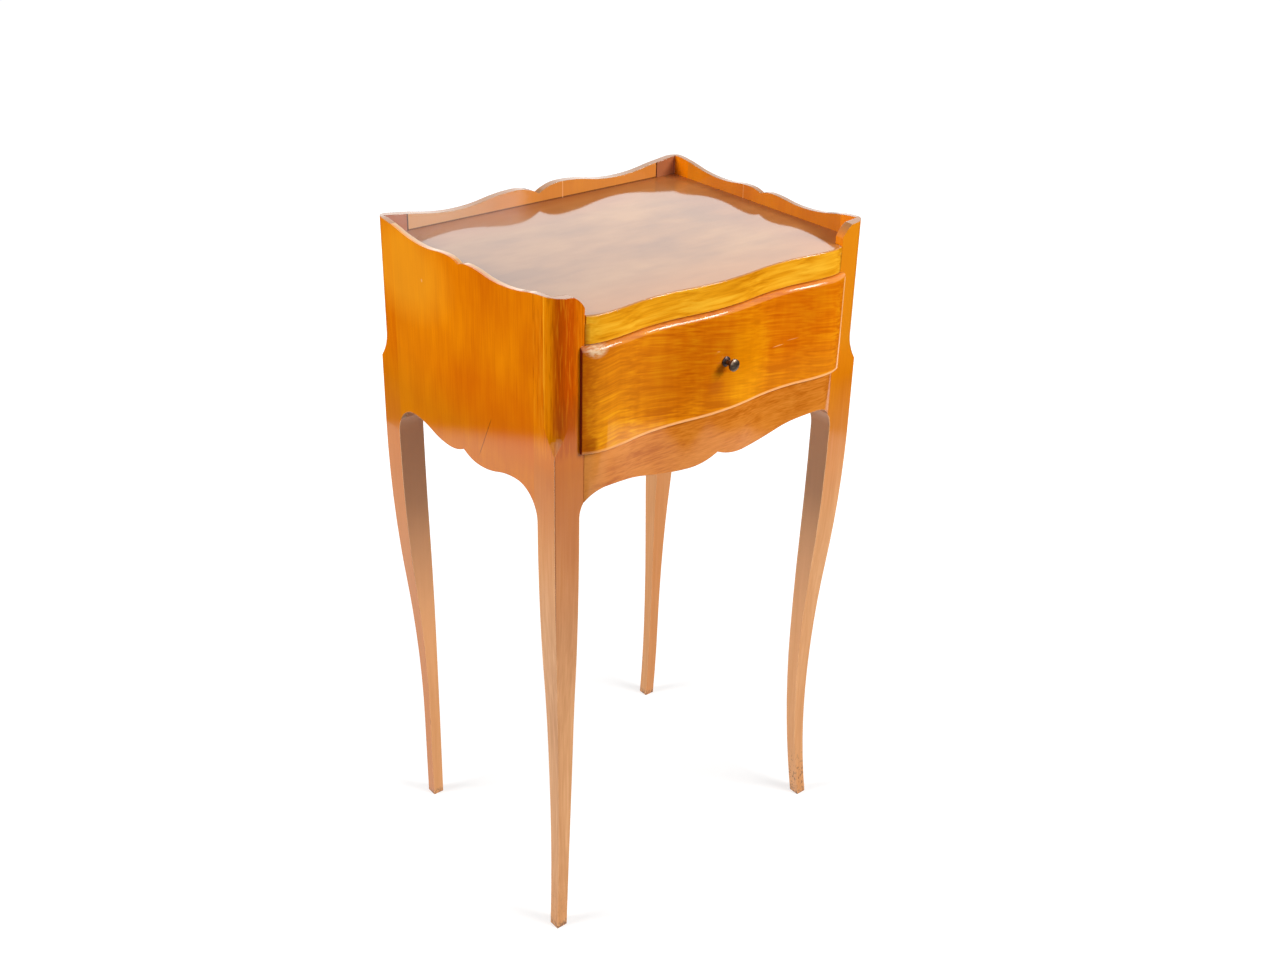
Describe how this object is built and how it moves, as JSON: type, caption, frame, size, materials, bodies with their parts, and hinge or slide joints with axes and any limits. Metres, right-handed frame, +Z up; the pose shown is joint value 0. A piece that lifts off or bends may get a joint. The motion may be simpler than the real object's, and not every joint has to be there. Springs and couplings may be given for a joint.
{
  "type": "bedside table",
  "caption": "Bedside table with a tray top inside a scalloped gallery, a bowed drawer with a round knob, scalloped aprons and slender curved legs.",
  "frame": {"origin": "on the floor, under the middle of the box that holds the whole table with its knob", "axes": "+Z up, -Y out of the drawer's front, +X to the right of someone who faces the drawer"},
  "size_m": [0.4, 0.331, 0.7428],
  "materials": {
    "varnished_frame_wood": "glossy varnished fruitwood",
    "varnished_panel_wood": "glossy varnished fruitwood, upright grain",
    "varnished_tray_wood": "glossy varnished fruitwood, grain along the width",
    "varnished_drawer_wood": "glossy varnished fruitwood, edges worn pale",
    "bare_inner_wood": "bare, dry secondary wood",
    "aged_brass": "darkened brass, rubbed bright on the crown",
    "plain_steel": "plain dull steel"
  },
  "bodies": {
    "carcass": {"leg_front_left": "varnished_frame_wood", "leg_front_right": "varnished_frame_wood", "leg_back_left": "varnished_frame_wood", "leg_back_right": "varnished_frame_wood", "side_panel_left": "varnished_panel_wood", "side_panel_right": "varnished_panel_wood", "back_panel": "varnished_panel_wood", "tray_top": "varnished_tray_wood", "front_rail": "varnished_frame_wood", "front_apron": "varnished_frame_wood", "kicker_left": "bare_inner_wood", "kicker_right": "bare_inner_wood", "back_cleat": "bare_inner_wood", "drawer_runner_left": "bare_inner_wood", "drawer_runner_right": "bare_inner_wood", "drawer_guide_left": "bare_inner_wood", "drawer_guide_right": "bare_inner_wood", "tray_screws": "plain_steel", "guide_screws": "plain_steel"},
    "drawer": {"drawer_front": "varnished_drawer_wood", "drawer_side_left": "bare_inner_wood", "drawer_side_right": "bare_inner_wood", "drawer_back": "bare_inner_wood", "drawer_bottom": "bare_inner_wood", "drawer_bottom_nails": "plain_steel", "knob": "aged_brass", "knob_rose": "aged_brass", "knob_nut": "plain_steel"}
  },
  "joints": [
    {"name": "drawer_slide", "type": "slide", "parent": "carcass", "child": "drawer", "axis": [0, -1, 0], "range_m": [0, 0.19]}
  ]
}
